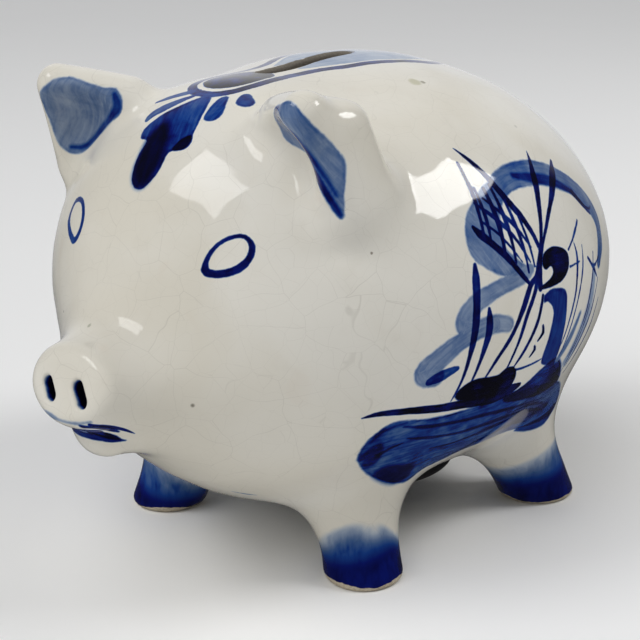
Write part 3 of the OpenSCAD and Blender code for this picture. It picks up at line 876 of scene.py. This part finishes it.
class Nodes:
    """Short spellings for the shader nodes."""

    def __init__(self, name):
        self.mat = bpy.data.materials.new(name)
        self.mat.use_nodes = True
        self.tree = self.mat.node_tree
        self.bsdf = self.tree.nodes["Principled BSDF"]

    def new(self, kind, **values):
        node = self.tree.nodes.new(kind)
        for key, value in values.items():
            setattr(node, key, value)
        return node

    def put(self, socket, value):
        if isinstance(value, bpy.types.NodeSocket):
            self.tree.links.new(value, socket)
        elif value is not None:
            socket.default_value = value

    def math(self, op, a, b=None, c=None, clamp=False):
        node = self.new("ShaderNodeMath", operation=op, use_clamp=clamp)
        for socket, value in zip(node.inputs, (a, b, c)):
            self.put(socket, value)
        return node.outputs[0]

    def mix(self, factor, a, b, blend="MIX"):
        node = self.new("ShaderNodeMix", data_type="RGBA", blend_type=blend)
        self.put(node.inputs["Factor"], factor)
        self.put(node.inputs[6], a)
        self.put(node.inputs[7], b)
        return node.outputs[2]

    def noise(self, vector, scale, detail=3.0, rough=0.5, warp=0.0):
        node = self.new("ShaderNodeTexNoise")
        self.put(node.inputs["Vector"], vector)
        node.inputs["Scale"].default_value = scale
        node.inputs["Detail"].default_value = detail
        node.inputs["Roughness"].default_value = rough
        node.inputs["Distortion"].default_value = warp
        return node

    def step(self, value, low, high, to_low=0.0, to_high=1.0):
        node = self.new("ShaderNodeMapRange", interpolation_type="SMOOTHSTEP")
        for key, item in (("Value", value), ("From Min", low), ("From Max", high),
                          ("To Min", to_low), ("To Max", to_high)):
            self.put(node.inputs[key], item)
        return node.outputs[0]

    def ramp(self, value, stops):
        node = self.new("ShaderNodeValToRGB")
        band = node.color_ramp
        while len(band.elements) < len(stops):
            band.elements.new(0.5)
        for element, (place, colour) in zip(band.elements, stops):
            element.position = place
            element.color = (*colour, 1)
        self.put(node.inputs[0], value)
        return node.outputs[0]

    def attribute(self, name):
        node = self.new("ShaderNodeAttribute", attribute_name=name)
        split = self.new("ShaderNodeSeparateXYZ")
        self.put(split.inputs[0], node.outputs["Vector"])
        return node.outputs["Vector"], split.outputs

    def scaled(self, vector, factors):
        node = self.new("ShaderNodeVectorMath", operation="MULTIPLY")
        self.put(node.inputs[0], vector)
        node.inputs[1].default_value = factors
        return node.outputs[0]

    def added(self, a, b):
        node = self.new("ShaderNodeVectorMath", operation="ADD")
        self.put(node.inputs[0], a)
        self.put(node.inputs[1], b)
        return node.outputs[0]


GLAZE_LIGHT = (0.785, 0.762, 0.695)
GLAZE_WARM = (0.715, 0.68, 0.59)
COBALT = ((0.0, (1, 1, 1)), (0.2, (0.58, 0.68, 0.88)), (0.35, (0.33, 0.44, 0.69)), (0.5, (0.15, 0.245, 0.50)),
          (0.62, (0.06, 0.145, 0.42)), (0.74, (0.010, 0.062, 0.36)), (0.86, (0.003, 0.010, 0.19)),
          (0.94, (0.002, 0.003, 0.07)), (1.0, (0.002, 0.002, 0.010)))


# pits and stains: place in mm, radius in mm, colour
BLEMISHES = (((25.1, 1.3, 108.7), 1.9, (0.47, 0.45, 0.30)), ((25.8, 3.4, 108.5), 0.8, (0.22, 0.21, 0.14)),
             ((-3.3, -71.5, 63.2), 0.8, (0.36, 0.36, 0.27)), ((50.0, -36.0, 52.6), 0.4, (0.10, 0.07, 0.05)),
             ((45.7, -39.4, 80.4), 0.45, (0.14, 0.10, 0.07)), ((22.0, -45.0, 99.5), 0.5, (0.12, 0.10, 0.08)))


def glaze_material():
    n = Nodes("cobalt_painted_glaze")
    place = n.new("ShaderNodeTexCoord").outputs["Object"]
    # wandering of every painted edge
    wander = n.noise(place, 900.0, 2.0)
    wide = n.noise(place, 260.0, 2.0)
    stray = n.math("ADD", n.math("MULTIPLY", n.math("SUBTRACT", wander.outputs["Fac"], 0.5), 0.30),
                   n.math("MULTIPLY", n.math("SUBTRACT", wide.outputs["Fac"], 0.5), 0.5))
    clear = None
    settings = {"wash": (1.2, 0.42, 0.16), "brush": (0.85, 0.28, 0.12), "dark": (0.6, 0.14, 0.08)}
    for layer in LAYERS:
        stray_amount, streak_amount, pool_amount = settings[layer.name]
        _, (dist, tone, soft) = n.attribute(layer.name + "_ink")
        run, _ = n.attribute(layer.name + "_run")
        d = n.math("ADD", dist, n.math("MULTIPLY", stray, stray_amount))
        cover = n.step(d, n.math("MULTIPLY", soft, 0.5), n.math("MULTIPLY", soft, -0.9))
        streak = n.noise(n.scaled(run, (0.13, 1.1, 1.0)), 1.0, 3.0, 0.6, 0.3)
        cloud = n.noise(place, 150.0, 4.0, 0.6, 0.5)
        vary = n.math("ADD", n.math("MULTIPLY", n.math("SUBTRACT", streak.outputs["Fac"], 0.5), streak_amount * 1.5),
                      n.math("MULTIPLY", n.math("SUBTRACT", cloud.outputs["Fac"], 0.5), streak_amount * 2.3))
        pool = n.step(n.math("ABSOLUTE", n.math("ADD", d, 0.5)), 0.6, 0.0, 0.0, pool_amount)
        pool = n.math("MULTIPLY", pool, n.step(wide.outputs["Fac"], 0.4, 0.6))
        ink = n.math("MULTIPLY", tone, n.math("ADD", n.math("ADD", vary, 1.0), pool), clamp=True)
        ink = n.math("MULTIPLY", ink, cover, clamp=True)
        left = n.math("SUBTRACT", 1.0, ink, clamp=True)
        clear = left if clear is None else n.math("MULTIPLY", clear, left)
    _, (top, low, bare_rim_and_slot_shade) = n.attribute("hoof")
    smear = n.noise(n.scaled(place, (1.0, 1.0, 0.35)), 240.0, 3.0, 0.6)
    fog = n.math("SUBTRACT", smear.outputs["Fac"], 0.5)
    high_d = n.math("ADD", top, n.math("MULTIPLY", fog, 2.4))
    depth = n.math("ADD", n.step(high_d, 0.8, -5.0, 0.20, 0.62), n.math("MULTIPLY", fog, 0.9))
    hoof_wash = n.math("MULTIPLY", n.step(high_d, 0.9, -0.9), depth)
    low_d = n.math("ADD", low, n.math("MULTIPLY", fog, 5.0))
    hoof_dark = n.step(low_d, 3.2, -2.4, 0.0, 0.74)
    clear = n.math("MULTIPLY", clear, n.math("SUBTRACT", 1.0, hoof_wash, clamp=True))
    clear = n.math("MULTIPLY", clear, n.math("SUBTRACT", 1.0, hoof_dark, clamp=True))
    # the glaze runs thin just above the bare rim
    bare_rim_and_slot_shade_d = n.math("ADD", bare_rim_and_slot_shade, n.math("MULTIPLY", fog, 1.6))
    bare_rim_and_slot_shade_mask = n.step(bare_rim_and_slot_shade_d, 0.12, -0.12)
    density = n.math("SUBTRACT", 1.0, clear, clamp=True)
    colour = n.ramp(density, COBALT)
    # glaze: warm and cool clouds, fine crackle, pinholes and a few pits
    tint = n.noise(place, 22.0, 3.0, 0.5, 0.6)
    base = n.mix(n.step(tint.outputs["Fac"], 0.35, 0.68), (*GLAZE_LIGHT, 1), (*GLAZE_WARM, 1))
    mottle = n.noise(place, 130.0, 4.0, 0.6)
    base = n.mix(n.step(mottle.outputs["Fac"], 0.55, 0.8, 0.0, 0.10), base, (0.52, 0.47, 0.38, 1))
    bent = n.noise(place, 70.0, 2.0, 0.5)
    moved = n.added(place, n.scaled(bent.outputs["Color"], (0.006, 0.006, 0.006)))
    for scale, width, depth in ((105.0, 0.009, 0.25), (230.0, 0.013, 0.14)):
        cells = n.new("ShaderNodeTexVoronoi", feature="DISTANCE_TO_EDGE")
        n.put(cells.inputs["Vector"], moved)
        cells.inputs["Scale"].default_value = scale
        patchy = n.noise(place, 34.0 + scale * 0.1, 2.0)
        line = n.step(cells.outputs["Distance"], width, 0.0)
        line = n.math("MULTIPLY", line, n.step(patchy.outputs["Fac"], 0.38, 0.62, 0.12, depth))
        base = n.mix(line, base, (0.36, 0.33, 0.28, 1))
    dots = n.new("ShaderNodeTexVoronoi", feature="F1")
    n.put(dots.inputs["Vector"], place)
    dots.inputs["Scale"].default_value = 92.0
    picked = n.new("ShaderNodeSeparateColor")
    n.put(picked.inputs[0], dots.outputs["Color"])
    rare = n.step(picked.outputs[0], 0.86, 0.88)
    dot_size = n.math("MULTIPLY", picked.outputs[1], 0.05)
    speck = n.math("MULTIPLY", n.step(dots.outputs["Distance"], n.math("ADD", dot_size, 0.028), dot_size), rare)
    base = n.mix(n.math("MULTIPLY", speck, 0.8), base, (0.10, 0.085, 0.06, 1))
    stain = n.noise(place, 48.0, 2.0, 0.5, 1.2)
    base = n.mix(n.step(stain.outputs["Fac"], 0.66, 0.80, 0.0, 0.22), base, (0.62, 0.50, 0.38, 1))
    for centre, size, tint in BLEMISHES:
        gap = n.new("ShaderNodeVectorMath", operation="DISTANCE")
        n.put(gap.inputs[0], n.scaled(place, (1.0, 1.0, 1.0)))
        gap.inputs[1].default_value = [v * MM for v in centre]
        torn = n.math("ADD", gap.outputs["Value"], n.math("MULTIPLY", stray, 0.003))
        base = n.mix(n.step(torn, size * MM, size * MM * 0.5, 0.0, 0.75), base, (*tint, 1))
    surface = n.mix(1.0, base, colour, "MULTIPLY")
    grain = n.noise(place, 1500.0, 4.0, 0.65)
    clay_and_slot_shade = n.mix(n.step(grain.outputs["Fac"], 0.3, 0.7), (0.42, 0.35, 0.25, 1), (0.60, 0.53, 0.41, 1))
    # above 5 cm the only bare clay is the coin slot: its walls and lips are darkened near black, painted shade of
    # the slot's hollow
    slot_shade_height = n.new("ShaderNodeSeparateXYZ")
    n.put(slot_shade_height.inputs[0], place)
    clay_and_slot_shade = n.mix(n.step(slot_shade_height.outputs[2], 0.04, 0.05, 0.0, 0.72), clay_and_slot_shade, (0.03, 0.03, 0.035, 1))
    surface = n.mix(bare_rim_and_slot_shade_mask, surface, clay_and_slot_shade)
    n.put(n.bsdf.inputs["Base Color"], surface)
    gloss = n.step(n.noise(place, 300.0, 3.0, 0.6).outputs["Fac"], 0.3, 0.75, 0.045, 0.085)
    rough = n.new("ShaderNodeMix", data_type="FLOAT")
    n.put(rough.inputs[0], bare_rim_and_slot_shade_mask)
    n.put(rough.inputs[2], gloss)
    rough.inputs[3].default_value = 0.62
    n.put(n.bsdf.inputs["Roughness"], rough.outputs[0])
    n.bsdf.inputs["IOR"].default_value = 1.40
    # glaze surface: orange peel, sunk pinholes, gritty bare rim
    peel = n.noise(place, 85.0, 2.0, 0.5)
    height = n.math("MULTIPLY", peel.outputs["Fac"], 0.00022)
    height = n.math("SUBTRACT", height, n.math("MULTIPLY", speck, 0.00010))
    grit = n.math("MULTIPLY", n.math("MULTIPLY", grain.outputs["Fac"], bare_rim_and_slot_shade_mask), 0.00030)
    height = n.math("ADD", height, grit)
    bump = n.new("ShaderNodeBump")
    bump.inputs["Strength"].default_value = 0.55
    bump.inputs["Distance"].default_value = 1.0
    n.put(bump.inputs["Height"], height)
    n.put(n.bsdf.inputs["Normal"], bump.outputs[0])
    return n.mat


def rubber_material():
    n = Nodes("black_bung_rubber")
    place = n.new("ShaderNodeTexCoord").outputs["Object"]
    broad = n.noise(place, 60.0, 4.0, 0.6)
    fine = n.noise(place, 1400.0, 4.0, 0.7)
    tone = n.mix(n.step(broad.outputs["Fac"], 0.35, 0.75), (0.011, 0.011, 0.012, 1), (0.028, 0.027, 0.026, 1))
    dust = n.step(fine.outputs["Fac"], 0.62, 0.8, 0.0, 0.35)
    tone = n.mix(dust, tone, (0.07, 0.068, 0.064, 1))
    n.put(n.bsdf.inputs["Base Color"], tone)
    n.put(n.bsdf.inputs["Roughness"], n.step(broad.outputs["Fac"], 0.3, 0.75, 0.42, 0.62))
    bump = n.new("ShaderNodeBump")
    bump.inputs["Strength"].default_value = 0.5
    bump.inputs["Distance"].default_value = 0.0002
    n.put(bump.inputs["Height"], fine.outputs["Fac"])
    n.put(n.bsdf.inputs["Normal"], bump.outputs[0])
    return n.mat


def floor_material():
    n = Nodes("studio_floor")
    place = n.new("ShaderNodeTexCoord").outputs["Object"]
    soft = n.noise(place, 3.0, 2.0)
    tone = n.mix(soft.outputs["Fac"], (0.90, 0.90, 0.90, 1), (0.93, 0.93, 0.925, 1))
    n.put(n.bsdf.inputs["Base Color"], tone)
    n.bsdf.inputs["Roughness"].default_value = 0.7
    return n.mat


# ---------------------------------------------------------------- rubber stopper


def arc(cr, cz, r, start, end, steps):
    return [(cr + r * math.cos(math.radians(start + (end - start) * i / steps)),
             cz + r * math.sin(math.radians(start + (end - start) * i / steps))) for i in range(steps + 1)]


def stopper_piece(material):
    low, top = stop_low[2], stop_high[2]
    brim = low + 6.35
    neck = BORE_R - 0.14
    inner = neck - 3.5
    seat = brim - 1.6
    outline = [(0, low + 1.5), (6.0, low + 1.5), (6.6, low + 1.35), (7.0, low + 0.9), (7.6, low + 0.75),
               (8.2, low + 0.9), (8.6, low + 1.35), (11.0, low + 1.45)]
    outline += [(11.7, low + 1.25), (12.5, low + 0.35), (13.1, low + 0.06), (14.5, low), (18.0, low)]
    outline += arc(FLANGE_R - 2.6, low + 2.6, 2.6, -90, 0, 10)
    outline += arc(FLANGE_R - 0.6, brim - 0.95, 0.6, 0, 80, 5)
    outline += [(FLANGE_R - 1.6, brim - 0.62), (neck + 1.2, seat + 0.02), (neck + 0.35, seat - 0.1)]
    for rib in range(3):
        z = seat + 2.2 + 3.2 * rib
        outline += [(neck - 0.5, z - 1.1), (neck - 0.12, z - 0.5), (neck, z), (neck - 0.12, z + 0.5),
                    (neck - 0.5, z + 1.1)]
    outline += arc(neck - 2.1, top - 1.6, 1.6, 0, 90, 6)
    outline += arc(inner + 0.5, top - 0.5, 0.5, 90, 180, 4)
    outline += [(inner, seat + 2.4), (inner - 0.3, seat + 1.5), (inner - 1.2, seat + 1.0), (0, seat + 1.0)]
    around = 128
    bm = bmesh.new()
    rings = []
    for r, z in outline:
        if r == 0:
            rings.append([bm.verts.new((0, BORE_Y * MM, z * MM))])
            continue
        rings.append([bm.verts.new((r * MM * math.cos(2 * math.pi * k / around),
                                    (BORE_Y + r * math.sin(2 * math.pi * k / around)) * MM, z * MM))
                      for k in range(around)])
    for a, b in zip(rings, rings[1:]):
        for k in range(around):
            m = (k + 1) % around
            if len(a) == 1:
                bm.faces.new((a[0], b[m], b[k]))
            elif len(b) == 1:
                bm.faces.new((a[k], a[m], b[0]))
            else:
                bm.faces.new((a[k], a[m], b[m], b[k]))
    bmesh.ops.recalc_face_normals(bm, faces=bm.faces)
    mesh = bpy.data.meshes.new("rubber_stopper")
    bm.to_mesh(mesh)
    bm.free()
    mesh.shade_smooth()
    obj = bpy.data.objects.new("rubber_stopper", mesh)
    bpy.context.scene.collection.objects.link(obj)
    mesh.materials.append(material)
    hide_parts("stopper")
    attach(obj, "plug")
    return obj


# ---------------------------------------------------------------- build
points, triangles, normals = glaze_mesh()
found_marks, found_hooves = all_marks(points, normals)
piece_of = smooth_labels(triangles, part_labels(points[triangles].mean(1)))
glaze = glaze_material()
for number, (piece_name, cad_node, finish) in enumerate(PIECES):
    make_piece(piece_name, cad_node, points, triangles[piece_of == number], normals,
               found_marks, found_hooves, glaze)
print("glaze triangles", len(triangles), [int((piece_of == k).sum()) for k in range(len(PIECES))])
stopper_piece(rubber_material())

# ---------------------------------------------------------------- studio
floor_mesh = bpy.data.meshes.new("studio_floor")
HALF_FLOOR = 14.0
floor_mesh.from_pydata([(-HALF_FLOOR, -HALF_FLOOR, 0), (HALF_FLOOR, -HALF_FLOOR, 0),
                        (HALF_FLOOR, HALF_FLOOR, 0), (-HALF_FLOOR, HALF_FLOOR, 0)], [], [(0, 1, 2, 3)])
floor = bpy.data.objects.new("studio_floor", floor_mesh)
bpy.context.scene.collection.objects.link(floor)
floor_mesh.materials.append(floor_material())
floor.visible_glossy = False

world = bpy.data.worlds.new("studio_air")
bpy.context.scene.world = world
world.use_nodes = True
air = world.node_tree
sky = air.nodes["Background"]
sky.inputs["Color"].default_value = (0.97, 0.98, 1.0, 1)
# in reflections the room is dark, as round a light tent's opening, save for the bright sheet behind the pig
SHEET = (-0.585, 0.69, 0.425)
ray = air.nodes.new("ShaderNodeLightPath")
sky_way = air.nodes.new("ShaderNodeTexCoord")
toward_sheet = air.nodes.new("ShaderNodeVectorMath")
toward_sheet.operation = "DOT_PRODUCT"
toward_sheet.inputs[1].default_value = SHEET
air.links.new(sky_way.outputs["Generated"], toward_sheet.inputs[0])
glow = air.nodes.new("ShaderNodeMapRange")
glow.interpolation_type = "SMOOTHSTEP"
for key, item in (("From Min", 0.62), ("From Max", 0.90), ("To Min", 0.05), ("To Max", 0.75)):
    glow.inputs[key].default_value = item
air.links.new(toward_sheet.outputs["Value"], glow.inputs["Value"])
dim = air.nodes.new("ShaderNodeMapRange")
dim.inputs["To Min"].default_value = 0.17
air.links.new(ray.outputs["Is Glossy Ray"], dim.inputs["Value"])
air.links.new(glow.outputs[0], dim.inputs["To Max"])
air.links.new(dim.outputs[0], sky.inputs["Strength"])
bpy.context.scene.view_settings.view_transform = "Standard"

AIM = Vector((0.0149, -0.0195, 0.0561))


def toward(azimuth, elevation):
    a, e = math.radians(azimuth), math.radians(elevation)
    return Vector((math.sin(a) * math.cos(e), -math.cos(a) * math.cos(e), math.sin(e)))


def softbox(name, azimuth, elevation, distance, width, height, watts, colour=(1, 1, 1)):
    data = bpy.data.lights.new(name, "AREA")
    data.shape = "RECTANGLE"
    data.size, data.size_y = width, height
    data.energy = watts
    data.color = colour
    obj = bpy.data.objects.new(name, data)
    way = toward(azimuth, elevation)
    obj.location = AIM + way * distance
    obj.rotation_euler = way.to_track_quat("Z", "Y").to_euler()
    bpy.context.scene.collection.objects.link(obj)


softbox("front_softbox", -30, 47, 1.3, 0.56, 0.30, 2.6)
softbox("side_softbox", 132, 45, 1.2, 0.46, 0.31, 4.8)
overhead = bpy.data.lights.new("overhead_diffuser", "SUN")
overhead.energy = 1.55
overhead.angle = math.radians(60)
overhead_light = bpy.data.objects.new("overhead_diffuser", overhead)
overhead_light.rotation_euler = toward(-8, 54).to_track_quat("Z", "Y").to_euler()
overhead_light.visible_glossy = False
bpy.context.scene.collection.objects.link(overhead_light)

CAM_AZ, CAM_EL, CAM_ROLL, CAM_DISTANCE = 40.9, 16.74, -0.17, 0.3189
camera_data = bpy.data.cameras.new("photo_camera")
camera_data.lens = 78.9
camera_data.sensor_width = 36.0
camera_data.clip_start = 0.01
camera = bpy.data.objects.new("photo_camera", camera_data)
back = toward(CAM_AZ, CAM_EL)
right = Vector((math.cos(math.radians(CAM_AZ)), math.sin(math.radians(CAM_AZ)), 0))
up = back.cross(right)
c, s = math.cos(math.radians(CAM_ROLL)), math.sin(math.radians(CAM_ROLL))
right, up = c * right + s * up, c * up - s * right
camera.matrix_world = Matrix(((right.x, up.x, back.x, 0), (right.y, up.y, back.y, 0),
                              (right.z, up.z, back.z, 0), (0, 0, 0, 1)))
camera.location = AIM + back * CAM_DISTANCE
bpy.context.scene.collection.objects.link(camera)
bpy.context.scene.camera = camera
